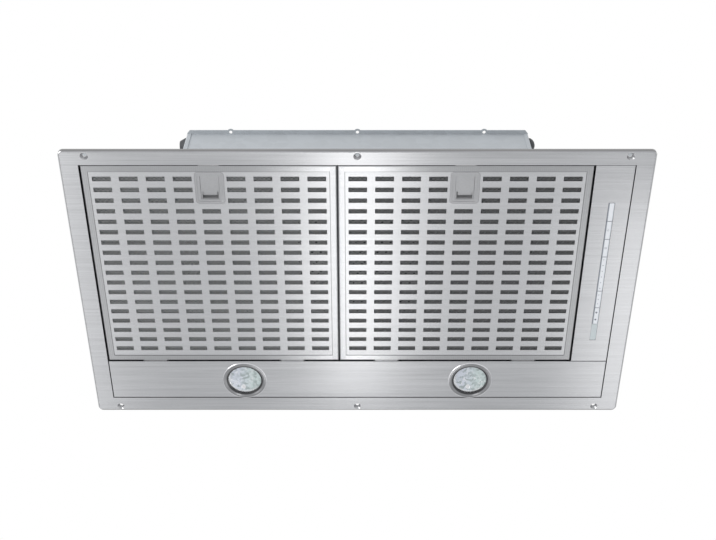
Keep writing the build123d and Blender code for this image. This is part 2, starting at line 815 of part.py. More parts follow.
pin_z = lid_top + 9.0
flap_z = lid_top + 6.8


def make_flap_pins():
    """Two straight pins across the collar."""
    inner = collar_radius - collar_wall
    return group([crosswise(-inner + 0.8, inner - 0.8, outlet_y + side * flap_pin_offset, pin_z,
                            flap_pin_radius) for side in (-1, 1)])


def make_flap(side):
    """Half-round backdraft flap with its hinge barrel and three ribs."""
    half_disc = upright(0, 0, flap_z, flap_z + flap_sheet, flap_radius)
    half_disc = half_disc - block(-99, 99, -99, flap_pin_offset, 0, collar_top)
    flap = half_disc
    for x in (-40, 0, 40):
        flap = flap + block(x - 0.8, x + 0.8, flap_pin_offset, 46, flap_z, flap_z + 3.4)
    notch_x = flap_radius - 3.6
    for s in (-1, 1):
        flap = flap - block(s * notch_x, s * 99, 0, 11, 0, collar_top)
    barrel_radius = 3.0
    flap = flap + crosswise(-notch_x, notch_x, flap_pin_offset, pin_z, barrel_radius)
    flap = flap - crosswise(-99, 99, flap_pin_offset, pin_z, flap_pin_radius + 0.05)
    if side < 0:
        flap = Rot(0, 0, 180) * flap
    return Pos(0, outlet_y, 0) * flap


# ---------------------------------------------------------------- fan
def volute(inset, x0, x1):
    """Slab of the scroll's spiral outline between two planes, drawn in by inset."""
    start = degrees(acos((tongue_offset + inset) / (scroll_base_radius - inset)))
    tongue = degrees(acos(tongue_offset / scroll_base_radius))
    arcs = 8

    def at(angle):
        grown = scroll_growth * (angle - tongue) / (360 - tongue)
        r = scroll_base_radius - inset + grown
        return (x0, fan_y + r * cos(radians(angle)), fan_z + r * sin(radians(angle)))

    step = (360 - start) / arcs
    edges = [ThreePointArc(at(start + i * step), at(start + (i + 0.5) * step), at(start + (i + 1) * step))
             for i in range(arcs)]
    top = scroll_mouth + (1 if inset > 0 else 0)
    outer_wall = at(360)
    inner_wall = at(start)
    edges.append(Polyline(outer_wall, (x0, outer_wall[1], top), (x0, inner_wall[1], top), inner_wall))
    return extrude(make_face(edges), amount=x1 - x0, dir=(1, 0, 0))


def make_scroll_half(side):
    """Half of the moulded scroll: spiral wall, side wall with a rolled inlet, joint rim."""
    w = scroll_half_width
    t = scroll_wall
    half = volute(0, 0, w) + volute(-scroll_rim, 0, joint_rim)
    half = half - volute(t, -1, w - t)
    half = half - block(-1, w + 1, -200, 300, scroll_mouth, scroll_mouth + 20)
    half = half - crosswise(w - t - 1, w + 1, fan_y, fan_z, inlet_radius + 4)
    inlet = turned_crosswise([(inlet_radius, -3), (inlet_radius, 2), (inlet_radius + 1.4, 4.6),
                              (inlet_radius + 4, 6), (inlet_radius + 7, 6), (inlet_radius + 7, 4.4),
                              (inlet_radius + 4.4, 3.6), (inlet_radius + 3, 1.6),
                              (inlet_radius + 8, 0), (inlet_radius + 8, -t),
                              (inlet_radius + 1.6, -t), (inlet_radius + 1.6, -3)], w, fan_y, fan_z)
    half = half + inlet
    for y, z in scroll_screw_spots():
        half = half + crosswise(0, joint_rim, y, z, joint_lug)
        half = half - crosswise(-1, joint_rim + 1, y, z, shank_radius + screw_clearance)
    if side < 0:
        half = mirror(half, about=Plane.YZ)
    return half


def scroll_screw_spots():
    """Lugs of the joint rim, where the scroll is screwed together."""
    tongue = degrees(acos(tongue_offset / scroll_base_radius))
    spots = []
    for angle in (95, 150, 205, 260, 315):
        grown = scroll_growth * (angle - tongue) / (360 - tongue)
        r = scroll_base_radius + grown + joint_lug - 1
        spots.append((fan_y + r * cos(radians(angle)), fan_z + r * sin(radians(angle))))
    return spots


def make_impeller():
    """Double-inlet wheel: middle disc and hub, end rings, forward-curved blades."""
    w = wheel_half_width
    ring = 2.4
    wheel = Cylinder(wheel_radius, 2.4)
    for side in (-1, 1):
        rim = Cylinder(wheel_radius, ring) - Cylinder(wheel_inner_radius, ring)
        wheel = wheel + Pos(0, 0, side * (w - ring / 2)) * rim
    wheel = wheel + Pos(0, 0, 2) * Cylinder(11, 24)
    inner = wheel_inner_radius + 0.8
    outer = wheel_radius - 0.6
    lean = 8.5

    def at(radius, angle, shift):
        return (radius * cos(radians(angle)), radius * sin(radians(angle)) + shift, 0)

    t = blade_thickness
    middle = (inner + outer) / 2
    profile = make_face([
        ThreePointArc(at(inner, 0, 0), at(middle, lean * 0.28, 0), at(outer, lean, 0)),
        Line(at(outer, lean, 0), at(outer, lean, -t * 0.8)),
        ThreePointArc(at(outer, lean, -t * 0.8), at(middle, lean * 0.28, -t), at(inner, 0, -t)),
        Line(at(inner, 0, -t), at(inner, 0, 0))])
    blade = extrude(profile, amount=w - 0.5, both=True)
    wheel = wheel + [Rot(0, 0, 360 * i / blade_count) * blade for i in range(blade_count)]
    wheel = wheel - Cylinder(shaft_radius, 60)
    return Pos(0, fan_y, fan_z) * Rot(0, 90, 0) * wheel


motor_face = -14.0
motor_back = -64.0
bracket_x = -80.0


def make_motor():
    """Motor inside the left half of the wheel, with a neck out to its bracket."""
    seat = 8.0
    length = motor_face - bracket_x
    r = motor_radius
    neck = motor_back - bracket_x
    outline = [(seat, 0), (17, 0), (17, neck - 2), (30, neck), (r - 4, neck + 3), (r, neck + 8),
               (r, length - 9), (r - 4, length - 4), (22, length - 2), (14, length), (seat, length),
               (seat, length - 8), (5.5, length - 8), (5.5, 8), (seat, 8)]
    body = turned_crosswise(outline, 0, 0, 0)
    ribs = [Rot(360 * i / 12, 0, 0) * block(neck + 10, length - 11, -1, 1, r - 1, r + 2.5)
            for i in range(12)]
    return Pos(bracket_x, fan_y, fan_z) * (body + ribs)


def make_motor_bearings():
    """Two sintered bushes for the shaft."""
    bore = shaft_radius + bearing_clearance
    outline = [(bore, 0), (8, 0), (8, 8), (bore, 8)]
    return group([turned_crosswise(outline, bracket_x, fan_y, fan_z),
                  turned_crosswise(outline, motor_face - 8, fan_y, fan_z)])


def make_motor_shaft():
    """Shaft from the rear bearing through the wheel's hub."""
    shaft = crosswise(bracket_x + 0.5, 16, fan_y, fan_z, shaft_radius)
    return chamfer(shaft.edges().filter_by(GeomType.CIRCLE), 0.5)


def make_motor_bracket():
    """Three-armed spider across the left inlet."""
    x0 = bracket_x - 2.5
    reach = scroll_inlet_reach
    spider = crosswise(x0, bracket_x, fan_y, fan_z, 28)
    for i in range(bracket_arms):
        arm = block(x0, bracket_x, -7, 7, 20, reach)
        end = crosswise(x0, bracket_x, 0, reach, 7)
        hole = crosswise(x0 - 1, bracket_x + 1, 0, reach, 2.6)
        turn = Pos(0, fan_y, fan_z) * Rot(30 + 120 * i, 0, 0)
        spider = spider + turn * (arm + end) - turn * hole
    spider = spider - crosswise(x0 - 1, bracket_x + 1, fan_y, fan_z, 9)
    return spider


scroll_inlet_reach = inlet_radius + 14.5


def make_rubber_mounts():
    """Rubber bushes between the bracket's arms and the scroll's side wall."""
    mounts = []
    for i in range(bracket_arms):
        bush = crosswise(bracket_x, -scroll_half_width, 0, scroll_inlet_reach, 6)
        bush = bush - crosswise(bracket_x - 1, bracket_x + 4, 0, scroll_inlet_reach, 2.0)
        mounts.append(Pos(0, fan_y, fan_z) * Rot(30 + 120 * i, 0, 0) * bush)
    return group(mounts)


# ---------------------------------------------------------------- electrics
def make_capacitor():
    """Block capacitor of the motor in the connection tray, with two tabs and a fixing ear."""
    x0 = tray_inside
    body = rounded_side(x0 + 0.8, x0 + 20, -84, -50, 194, 226)
    ear = block(x0, x0 + 0.8, -74, -60, 200, 234)
    ear = ear - crosswise(x0 - 1, x0 + 2, -67, 230.5, 1.6)
    tabs = [block(x0 + 20, x0 + 27, y, y + 4.8, 212, 212.8) for y in (-79, -60)]
    return body + ear + tabs


def make_terminal_box():
    """Connection tray on the left side sheet round the cable entry, open to the middle."""
    x0 = -box_width / 2 + box_sheet
    w = tray_wall
    top = tray_bottom + tray_height
    shell = block(x0, x0 + tray_reach, tray_front, tray_back, tray_bottom, top)
    shell = shell - block(x0 + w, x0 + tray_reach + 1, tray_front + w, tray_back - w,
                          tray_bottom + w, top - w)
    return shell - crosswise(x0 - 1, x0 + 3, side_entry_y, side_entry_z, side_entry_neck + 0.1)


def make_terminal_cover():
    """Lid of the connection tray."""
    x0 = -box_width / 2 + box_sheet + tray_reach
    return rounded_side(x0, x0 + tray_wall, tray_front, tray_back, tray_bottom,
                        tray_bottom + tray_height)


tray_inside = -box_width / 2 + box_sheet + tray_wall


def rounded_side(x0, x1, y0, y1, z0, z1):
    """Upright plate with chamfered outer edges."""
    plate = block(x0, x1, y0, y1, z0, z1)
    return chamfer(plate.faces().sort_by(Axis.X)[-1].edges(), 0.6)


def make_terminal_block():
    """Five-way terminal block with its screw wells."""
    x0 = tray_inside
    body = block(x0, x0 + 16, -44, 6, 196, 216)
    for i in range(5):
        y = -39 + 10 * i
        body = body - crosswise(x0 + 8, x0 + 17, y, 210, 2.6)
        body = body - block(x0 + 9, x0 + 13, y - 2, y + 2, 195, 204)
    return body


# ---------------------------------------------------------------- nodes
def make_nodes():
    nodes = {
        "flange_frame": make_flange_frame(),
        "lower_housing": make_lower_housing(),
        "filter_centre_bar": make_centre_bar(),
        "lamp_partition": make_lamp_partition(),
        "lamp_panel": make_lamp_panel(),
        "control_panel": make_control_panel(),
        "key_strip_blanks": make_strip_blanks(),
        "key_carrier": make_key_carrier(),
        "key_switches": make_key_switches(),
        "control_board": make_control_board(),
        "control_cover": make_control_cover(),
        "housing_front": make_housing_front(),
        "housing_sides": make_housing_sides(),
        "housing_back": make_housing_back(),
        "housing_cover": make_housing_cover(),
        "pan_head_screws": make_screws(),
        "cable_gland": make_cable_gland(),
        "blanking_plug": make_blanking_plug(),
        "outlet_duct": make_outlet_duct(),
        "outlet_collar": make_outlet_collar(),
        "flap_pins": make_flap_pins(),
        "flap_front": make_flap(-1),
        "flap_rear": make_flap(1),
        "scroll_left_half": make_scroll_half(-1),
        "scroll_right_half": make_scroll_half(1),
        "impeller": make_impeller(),
        "motor": make_motor(),
        "motor_bearings": make_motor_bearings(),
        "motor_shaft": make_motor_shaft(),
        "motor_bracket": make_motor_bracket(),
        "motor_rubber_mounts": make_rubber_mounts(),
        "capacitor": make_capacitor(),
        "terminal_box": make_terminal_box(),
        "terminal_cover": make_terminal_cover(),
        "terminal_block": make_terminal_block(),
    }
    for name, x in zip(("filter_left", "filter_right"), filter_centres_x):
        nodes[name + "_face"] = make_filter_face(x)
        nodes[name + "_mesh"] = make_filter_mesh(x)
        nodes[name + "_back"] = make_filter_back(x)
        nodes[name + "_latch_plate"] = make_latch_plate(x)
        nodes[name + "_latch"] = make_latch(x)
    for name, x in (("lamp_left", -lamp_x), ("lamp_right", lamp_x)):
        nodes[name + "_bezel"] = make_bezel(x)
        nodes[name + "_glass"] = make_glass(x)
        nodes[name + "_reflector"] = make_reflector(x)
        nodes[name + "_bulb"] = make_bulb(x)
        nodes[name + "_can"] = make_lamp_can(x)
    for name, (unit, units_long) in keys.items():
        nodes[name] = make_key(unit, units_long)
    return nodes


os.makedirs("parts", exist_ok=True)
for node, shape in make_nodes().items():
    export_step(shape, f"parts/{node}.step")
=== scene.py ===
import json
from math import cos, pi, radians, sin

import bmesh
import bpy
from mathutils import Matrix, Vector


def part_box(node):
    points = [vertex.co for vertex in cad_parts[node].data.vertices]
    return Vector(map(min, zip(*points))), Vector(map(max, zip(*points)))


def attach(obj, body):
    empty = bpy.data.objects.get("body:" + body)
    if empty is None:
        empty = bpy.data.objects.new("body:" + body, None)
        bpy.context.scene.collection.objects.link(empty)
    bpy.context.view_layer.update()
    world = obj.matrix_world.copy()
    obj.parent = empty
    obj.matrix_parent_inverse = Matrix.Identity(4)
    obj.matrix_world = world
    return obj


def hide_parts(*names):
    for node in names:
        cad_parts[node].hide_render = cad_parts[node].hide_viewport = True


# Looks of the range hood insert: finishes, grease mesh, lamp facets, key marks and screws,
# with the light, floor and camera that show it from below and in front. Metres, as the frame.

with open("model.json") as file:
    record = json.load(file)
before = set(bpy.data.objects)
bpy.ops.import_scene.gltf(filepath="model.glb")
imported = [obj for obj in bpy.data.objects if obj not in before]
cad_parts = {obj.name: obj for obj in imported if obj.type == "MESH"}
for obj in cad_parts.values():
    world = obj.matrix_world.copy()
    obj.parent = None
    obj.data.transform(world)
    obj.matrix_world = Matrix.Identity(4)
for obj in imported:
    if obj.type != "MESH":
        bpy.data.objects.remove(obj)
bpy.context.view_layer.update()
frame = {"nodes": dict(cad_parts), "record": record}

# ---------------------------------------------------------------- sizes
# Flange: its underside, the seam of its side strips, and the bands along its rolled outer edge
# that get painted shade
underside = -0.005
side_strip_edge = 0.3285
seam_y = -0.1782
seam_half_width = 0.0004
rolled_edge_y = 0.1947
rolled_edge_low = underside + 0.0002
rolled_edge_high = underside + 0.0010
far_edge_y = 0.1946
side_edge_x = 0.3498

# Filters: the pressed field of the pans and the strands of the mesh behind it
filter_gap_x = -0.0237
gap_margin = 0.03
margin_shade_from_gap = 0.12
field_inset = 0.0066
press_line_half_width = 0.00042
fold_shade_rate = 2600
fine_pitch = 0.0024
fine_half_length = 0.0027
coarse_pitch = 0.0046
coarse_half_length = 0.0050
coarse_layers = 2
coarse_level_share = 0.5
layer_gap_share = 0.3
layer_slip_x = 0.0021
layer_slip_y = 0.0011
strand_depth = 0.0005
strand_radius_share = 0.27
zigzag_share = 0.86
latch_clearance = 0.053
latch_half_width = 0.020

# Key strip: units of one pitch, counted from the front
key_middle_x = 0.3055
key_strip_front = -0.1271
key_pitch = 0.0256
key_joint_width = 0.0006
key_shade_left = key_middle_x - 0.0023
key_shade_right = key_middle_x + 0.0030
key_face = underside + 0.0001
print_depth = 0.00006
print_rise = 0.00002
print_line = 0.00028

# Lamps, from the middle of each
bezel_lip_radius = 0.0240
bezel_lip_blend = 0.0006
bezel_roll_radius = 0.0284
bezel_roll_blend = 0.0004
glass_rim_start = 0.0175
glass_rim_end = 0.0205
glass_glint_x = 0.0022
glass_glint_y = 0.0125
glass_glint_squash = 0.55
glass_glint_start = 0.0024
glass_glint_end = 0.0034
facet_sectors = 28
mirror_profile = [(0.0224, 0.0), (0.0212, 0.0034), (0.0193, 0.0068), (0.0168, 0.0105),
                  (0.0136, 0.0139), (0.0098, 0.0167), (0.0056, 0.0185)]
shell_profile = [(0.0075, 0.0200), (0.0120, 0.0170), (0.0175, 0.0120), (0.0215, 0.0060),
                 (0.0238, 0.0012), (0.0238, 0.0)]

# Screws, as shares of the head's radius, and the recess's depth as one of the head's height
head_height_share = 0.62
head_top_share = 0.72
recess_length_share = 1.15
recess_width_share = 0.26
recess_depth_share = 1.1
shank_radius_share = 0.5


# ---------------------------------------------------------------- node trees
class Number:
    """A number that varies over a surface or along a pattern. Sums on it add Math nodes."""

    def __init__(self, graph, socket):
        self.graph = graph
        self.socket = socket

    def math(self, operation, *others):
        made = self.graph.node("ShaderNodeMath", {"operation": operation},
                               dict(enumerate((self, *others))))
        return Number(self.graph, made.outputs[0])

    def __add__(self, other):
        return self.math("ADD", other)

    def __sub__(self, other):
        return self.math("SUBTRACT", other)

    def __rsub__(self, other):
        return self * -1 + other

    def __mul__(self, other):
        return self.math("MULTIPLY", other)

    def __truediv__(self, other):
        return self.math("DIVIDE", other)

    def __mod__(self, other):
        return self.math("MODULO", other)

    def __gt__(self, other):
        return self.math("GREATER_THAN", other)

    def __lt__(self, other):
        return self.math("LESS_THAN", other)

    def __abs__(self):
        return self.math("ABSOLUTE")

    __radd__ = __add__

    def least(self, other):
        return self.math("MINIMUM", other)

    def most(self, other):
        return self.math("MAXIMUM", other)

    def rises(self, low, high):
        """Zero below low, one above high, smooth between."""
        made = self.graph.node("ShaderNodeMapRange", {"interpolation_type": "SMOOTHSTEP"},
                               {"Value": self, "From Min": low, "From Max": high})
        return Number(self.graph, made.outputs[0])


class Graph:
    """One node tree: the shader of a finish, or a pattern of Geometry Nodes."""

    def __init__(self, tree):
        self.tree = tree
        tree.nodes.clear()

    def node(self, kind, settings=None, sockets=None):
        """Adds a node, with its settings first and then the values or links of its sockets."""
        made = self.tree.nodes.new(kind)
        for name, value in (settings or {}).items():
            setattr(made, name, value)
        for key, value in (sockets or {}).items():
            value = getattr(value, "socket", value)
            if isinstance(value, bpy.types.NodeSocket):
                self.tree.links.new(value, made.inputs[key])
            else:
                made.inputs[key].default_value = value
        return made


class Finish(Graph):
    """A material of the object."""

    def __init__(self, name):
        self.material = bpy.data.materials.new(name)
        self.material.use_nodes = True
        super().__init__(self.material.node_tree)
        self.place = self.node("ShaderNodeTexCoord").outputs["Object"]
        parts = self.node("ShaderNodeSeparateXYZ", {}, {0: self.place})
        self.x, self.y, self.z = [Number(self, part) for part in parts.outputs]

    def stretched(self, scale):
        made = self.node("ShaderNodeVectorMath", {"operation": "MULTIPLY"},
                         {0: self.place, 1: scale})
        return made.outputs[0]

    def noise(self, scale, detail=2.0, roughness=0.5):
        """Cloudy noise, with one scale for each axis."""
        made = self.node("ShaderNodeTexNoise", {},
                         {"Vector": self.stretched(scale), "Scale": 1.0, "Detail": detail,
                          "Roughness": roughness})
        return Number(self, made.outputs[0])

    def cells(self, scale):
        """Voronoi cells: the distance to a cell's middle and a random number for each cell."""
        made = self.node("ShaderNodeTexVoronoi", {}, {"Vector": self.place, "Scale": scale})
        split = self.node("ShaderNodeSeparateColor", {}, {0: made.outputs["Color"]})
        return Number(self, made.outputs["Distance"]), Number(self, split.outputs[0])

    def blend(self, factor, first, second):
        made = self.node("ShaderNodeMix", {"data_type": "RGBA"},
                         {0: factor, 6: (*first, 1) if isinstance(first, tuple) else first,
                          7: (*second, 1) if isinstance(second, tuple) else second})
        return made.outputs[2]

    def bump(self, height, strength, distance=0.0002):
        made = self.node("ShaderNodeBump", {},
                         {"Strength": strength, "Distance": distance, "Height": height})
        return made.outputs[0]

    def surface(self, sockets):
        shader = self.node("ShaderNodeBsdfPrincipled", {}, sockets)
        self.node("ShaderNodeOutputMaterial", {}, {"Surface": shader.outputs[0]})
        return self.material


def tinted(colour, factor):
    return tuple(channel * factor for channel in colour)


# ---------------------------------------------------------------- finishes
def brushed_steel(finish, colour, contrast, roughness):
    """Sheet brushed along the width, darker along its seams, with painted shade along its rolled
    outer edge.
    """
    fine = finish.noise((14, 1100, 1100), 4.0, 0.7)
    broad = finish.noise((4, 330, 330), 2.0, 0.5)
    cloud = finish.noise((6, 6, 6), 1.0)
    streak = fine * 0.55 + broad * 0.3 + cloud * 0.15
    level = streak.rises(0.32, 0.68)
    seam_line = (abs(finish.y - seam_y) < seam_half_width) * (abs(finish.x) > side_strip_edge)
    steel = finish.blend(level, tinted(colour, 1 - contrast), tinted(colour, 1 + contrast))
    steel = finish.blend(seam_line * 0.35, steel, tinted(colour, 0.35))
    # Painted shade: a dark band along the rolled outer edge and the far and side edges stands in
    # for the edge's dark reflection.
    upturned = finish.z.rises(rolled_edge_low, rolled_edge_high)
    painted_rolled_edge = (abs(finish.y) > rolled_edge_y) * upturned * 0.7
    side_edge_shade = (abs(finish.x) > side_edge_x) * 0.3
    outer_edge_shade = (finish.y > far_edge_y).most(side_edge_shade) * 0.9
    steel = finish.blend(painted_rolled_edge.most(outer_edge_shade), steel, tinted(colour, 0.22))
    return finish.surface({
        "Base Color": steel,
        "Metallic": 1.0,
        "Roughness": roughness + (streak - 0.5) * 0.16,
        "Normal": finish.bump(fine * 0.7 + broad * 0.3, 0.10),
    })


def filter_steel(finish, colour):
    """Pan of a filter: a fine-grained field in a pressed line, and a margin with faint folds;
    the line and the folds are drawn in painted shade.

    The margin is as bright as the field at the gap between the filters, and darkened by painted
    shade further off.
    """
    fine = finish.noise((60, 1400, 1400), 3.0, 0.6)
    grain = finish.noise((900, 900, 900), 2.0, 0.6)
    broad = finish.noise((3, 200, 200), 2.0)
    level = (fine * 0.35 + grain * 0.4 + broad * 0.25).rises(0.34, 0.66)
    steel = finish.blend(level, tinted(colour, 0.93), tinted(colour, 1.06))
    beside, out = field_distances(finish)
    from_gap = abs(finish.x - filter_gap_x)
    margin = (out > 0.0) * (1 - (beside > 0.0) * (from_gap < gap_margin))
    # Painted shade: the margin turns duller away from the gap between the filters, and sine
    # stripes across it paint the shade of faint folds.
    fold_shading = (finish.x * fold_shade_rate).math("SINE") * 0.10
    margin_shade = margin * from_gap.rises(gap_margin, margin_shade_from_gap)
    steel = finish.blend(margin_shade * (0.55 + fold_shading), steel, tinted(colour, 0.55))
    # Painted shade: a dark line along the border of the pressed field.
    press_line_shade = (abs(out) < press_line_half_width) * 0.62
    steel = finish.blend(press_line_shade, steel, tinted(colour, 0.25))
    return finish.surface({
        "Base Color": steel,
        "Metallic": 1.0,
        "Roughness": 0.23 + (grain - 0.5) * 0.10 - margin * 0.04,
        "Normal": finish.bump(fine * 0.5 + grain * 0.5, 0.10),
    })


def field_distances(finish):
    """How far a point lies past the sides of the pans' fields, and past any of their borders."""
    low_left, high_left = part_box("filter_left_mesh")
    low_right, high_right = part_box("filter_right_mesh")
    half_width = (high_left.x - low_left.x) / 2 - field_inset
    half_depth = (high_left.y - low_left.y) / 2 - field_inset
    from_left = abs(finish.x - (low_left.x + high_left.x) / 2)
    from_right = abs(finish.x - (low_right.x + high_right.x) / 2)
    along = abs(finish.y - (low_left.y + high_left.y) / 2)
    beside = from_left.least(from_right) - half_width
    return beside, beside.most(along - half_depth)


def satin_steel(finish, colour):
    """Pressed latch sheet with a light satin grain."""
    grain = finish.noise((500, 900, 900), 3.0, 0.6)
    wear = finish.noise((40, 40, 40), 2.0)
    steel = finish.blend((grain * 0.6 + wear * 0.4).rises(0.3, 0.7),
                         tinted(colour, 0.93), tinted(colour, 1.05))
    return finish.surface({
        "Base Color": steel,
        "Metallic": 1.0,
        "Roughness": 0.34 + (grain - 0.5) * 0.12,
        "Normal": finish.bump(grain, 0.06),
    })


def galvanised(finish, colour):
    """Zinc-coated sheet with a faint spangle of crystals."""
    crystal = finish.cells(85)[1]
    cloud = finish.noise((9, 9, 9), 3.0)
    fleck = finish.noise((700, 700, 700), 2.0)
    level = (crystal * 0.4 + cloud * 0.35 + fleck * 0.25).rises(0.2, 0.8)
    zinc = finish.blend(level, tinted(colour, 0.96), tinted(colour, 1.04))
    return finish.surface({
        "Base Color": zinc,
        "Metallic": 0.1,
        "Roughness": 0.5 + crystal * 0.06 + (cloud - 0.5) * 0.06,
        "Normal": finish.bump(crystal * 0.3 + fleck * 0.7, 0.03),
    })


def plated(finish, colour, roughness):
    """Plated or ground metal of screws, shafts and bearings."""
    grain = finish.noise((1200, 1200, 1200), 2.0)
    wear = finish.noise((120, 120, 120), 3.0)
    metal = finish.blend(wear.rises(0.3, 0.7), tinted(colour, 0.9), tinted(colour, 1.05))
    return finish.surface({
        "Base Color": metal,
        "Metallic": 1.0,
        "Roughness": roughness + (wear - 0.5) * 0.12 + (grain - 0.5) * 0.04,
        "Normal": finish.bump(grain, 0.02),
    })


def bezel_ring(finish, colour):
    """Turned ring of a lamp: a painted highlight on its rolled edge and painted shade in its
    throat towards the glass.
    """
    low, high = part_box("lamp_right_bezel")
    across = abs(finish.x) - (low.x + high.x) / 2
    along = finish.y - (low.y + high.y) / 2
    radius = (across * across + along * along).math("SQRT")
    grain = finish.noise((1200, 1200, 1200), 2.0)
    ring = (radius * 9000).math("SINE")
    # Painted shade darkens the throat; a painted highlight brightens the rolled edge.
    throat_shade = 1 - radius.rises(bezel_lip_radius - bezel_lip_blend,
                              bezel_lip_radius + bezel_lip_blend)
    painted_rolled_edge = radius.rises(bezel_roll_radius - bezel_roll_blend,
                          bezel_roll_radius + bezel_roll_blend)
    metal = finish.blend(throat_shade, colour, tinted(colour, 0.25))
    metal = finish.blend(painted_rolled_edge, metal, tinted(colour, 2.6))
    return finish.surface({
        "Base Color": metal,
        "Metallic": 1.0,
        "Roughness": 0.2 + (grain - 0.5) * 0.1,
        "Normal": finish.bump(ring * 0.5 + grain * 0.5, 0.05),
    })


def moulded(finish, colour, roughness, grain_size=900, coat=0.0):
    """Moulded plastic or rubber with a fine eroded texture."""
    grain = finish.noise((grain_size, grain_size, grain_size), 2.0)
    flow = finish.noise((14, 14, 14), 3.0)
    shade = finish.blend(flow.rises(0.25, 0.75), tinted(colour, 0.9), tinted(colour, 1.1))
    return finish.surface({
        "Base Color": shade,
        "Roughness": roughness + (grain - 0.5) * 0.14,
        "Normal": finish.bump(grain, 0.10),
        "Coat Weight": coat,
    })


def unit_front(unit):
    return key_strip_front + unit * key_pitch


def key_plastic(finish, colour):
    """Glossy white of the key strip, with painted shade along its joints and on its sides, and a
    grey last unit.
    """
    cloud = finish.noise((60, 60, 60), 2.0)
    shade = finish.blend(cloud.rises(0.3, 0.7), tinted(colour, 0.97), colour)
    along_unit = (finish.y - unit_front(-10)) % key_pitch
    inside_double_key = abs(finish.y - unit_front(4)) < key_joint_width * 3
    # Painted shade: dark lines along the gaps between the keys and along the strip's sides.
    joint_shade = (along_unit < key_joint_width) * (1 - inside_double_key) * 0.8
    shaded_side = (finish.x < key_shade_left).most((finish.x > key_shade_right) * 0.7) * 0.85
    shade = finish.blend(joint_shade.most(shaded_side), shade, (0.16, 0.19, 0.23))
    shade = finish.blend(finish.y > unit_front(7), shade, (0.64, 0.70, 0.71))
    return finish.surface({
        "Base Color": shade,
        "Roughness": 0.2 + (cloud - 0.5) * 0.08,
        "Coat Weight": 0.3,
        "Normal": finish.bump(cloud, 0.02),
    })


def solder_mask(finish, colour):
    """Circuit board with etched tracks under its lacquer."""
    bend = finish.noise((120, 40, 40), 0.0) * 3
    track = (finish.x * 900 + bend).math("SINE").rises(0.5, 0.7)
    shade = finish.blend(track * 0.6, colour, tinted(colour, 1.9))
    return finish.surface({
        "Base Color": shade,
        "Roughness": 0.35 + (track - 0.5) * 0.06,
        "Coat Weight": 0.4,
        "Normal": finish.bump(track, 0.08),
    })


def expanded_metal(finish, colour):
    """Aluminium strands of the grease mesh, in paler and duller patches, with painted shade
    darkening them to the right.
    """
    patch = finish.noise((9, 13, 9), 2.0)
    glint = finish.noise((700, 700, 700), 1.0)
    shade = finish.blend((patch * 0.6 + glint * 0.4).rises(0.3, 0.7),
                         tinted(colour, 0.85), tinted(colour, 1.15))
    # Painted shade: the strands grow darker towards the right.
    shade = finish.blend(finish.x.rises(-0.15, 0.10), shade, tinted(colour, 0.62))
    return finish.surface({
        "Base Color": shade,
        "Metallic": 0.5,
        "Roughness": 0.5 + (glint - 0.5) * 0.2,
        "Normal": finish.bump(glint, 0.1),
    })


def lamp_glass(finish, colour):
    """Dimpled front glass of a lamp, with a painted highlight along its rim, a painted glint in
    its rear part and painted glints on some dimples.
    """
    low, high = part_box("lamp_right_glass")
    middle_x = (low.x + high.x) / 2
    own_middle_x = (finish.x > 0.0) * (2 * middle_x) - middle_x
    across = finish.x - own_middle_x
    along = finish.y - (low.y + high.y) / 2
    radius = (across * across + along * along).math("SQRT")
    dimple, cell = finish.cells(300)
    hue = across.rises(-0.010, 0.012)
    shade = finish.blend(hue, (0.80, 0.84, 0.92), colour)
    shade = finish.blend((1 - cell).rises(0.4, 0.9) * 0.8, shade, tinted(colour, 0.6))
    # Painted highlight along the rear left rim, a painted white glint in the rear part and
    # painted glints on some dimples; these also raise Metallic.
    rear_left = (across * -0.6 + along).rises(-0.004, 0.012)
    rim_highlight = radius.rises(glass_rim_start, glass_rim_end) * rear_left * 0.8
    glint_across = across + glass_glint_x
    glint_along = along - glass_glint_y
    from_glint = (glint_across * glint_across + glint_along * glint_along * glass_glint_squash).math("SQRT")
    painted_glint = 1 - from_glint.rises(glass_glint_start, glass_glint_end)
    painted_highlights = rim_highlight.most(painted_glint).most(cell.rises(0.75, 1.0) * 0.6)
    shade = finish.blend(painted_highlights, shade, (1.0, 1.0, 1.0))
    return finish.surface({
        "Base Color": shade,
        "Metallic": 0.25 + painted_highlights * 0.6,
        "Roughness": 0.12 + cell * 0.10,
        "IOR": 1.47,
        "Transmission Weight": 0.1,
        "Normal": finish.bump(dimple * (1 - painted_glint), 0.2, 0.0006),
    })


def bulb_glass(finish, colour):
    """Frosted glass of the bulbs."""
    cloud = finish.noise((150, 150, 150), 2.0)
    shade = finish.blend(cloud.rises(0.3, 0.7), colour, tinted(colour, 0.94))
    return finish.surface({
        "Base Color": shade,
        "Roughness": 0.2 + (cloud - 0.5) * 0.1,
        "Transmission Weight": 0.3,
        "Normal": finish.bump(cloud, 0.03),
    })


def mirror_facets(finish, colour):
    """Evaporated mirror of the reflectors, with a bluish and greenish bloom."""
    bloom = finish.noise((70, 70, 70), 2.0)
    shade = finish.blend(bloom.rises(0.35, 0.65), colour, (0.78, 0.86, 0.86))
    return finish.surface({
        "Base Color": shade,
        "Metallic": 1.0,
        "Roughness": 0.12 + (bloom - 0.5) * 0.08,
        "Normal": finish.bump(bloom, 0.02),
    })


def ink(finish, colour):
    """Printed marks, not quite even."""
    wear = finish.noise((2500, 2500, 2500), 2.0)
    shade = finish.blend(wear.rises(0.3, 0.7), colour, tinted(colour, 1.3))
    return finish.surface({"Base Color": shade, "Roughness": 0.45 + (wear - 0.5) * 0.1})


